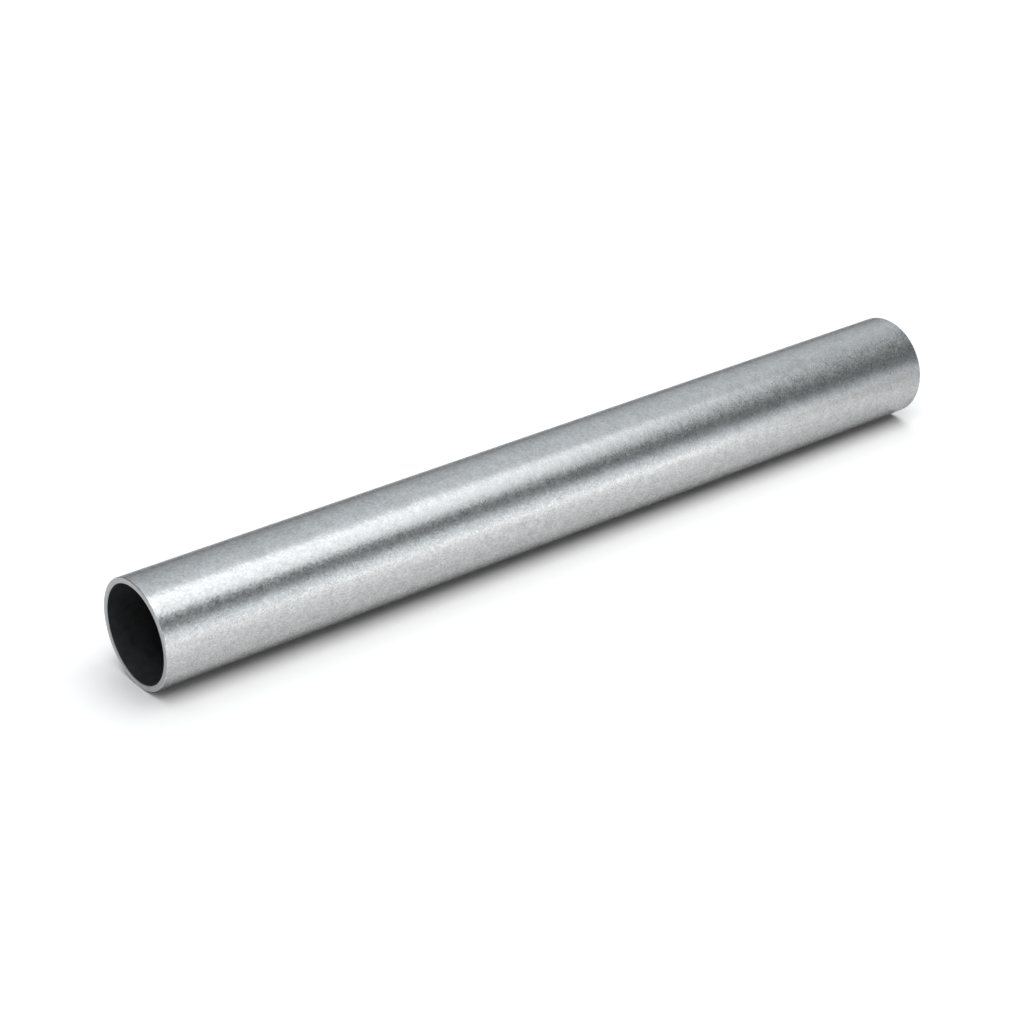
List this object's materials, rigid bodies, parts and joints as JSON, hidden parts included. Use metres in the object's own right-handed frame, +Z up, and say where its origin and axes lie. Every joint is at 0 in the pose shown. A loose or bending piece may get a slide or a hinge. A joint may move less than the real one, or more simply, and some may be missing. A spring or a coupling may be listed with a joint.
{
  "type": "galvanized iron pipe",
  "caption": "Straight round pipe of zinc-coated steel with plain square-cut ends and an open bore, to carry water or serve as a rail or post.",
  "frame": {"origin": "middle of the pipe's axis, half way along its length", "axes": "+X along the pipe's axis, from the end that the picture shows in front to the far end; +Z up as the pipe lies"},
  "size_m": [0.54, 0.0603, 0.0602],
  "materials": {
    "zinc_coat": "hot-dip galvanized, satin, with a fine mottled grain"
  },
  "bodies": {
    "root": {"pipe": "zinc_coat"}
  },
  "joints": []
}
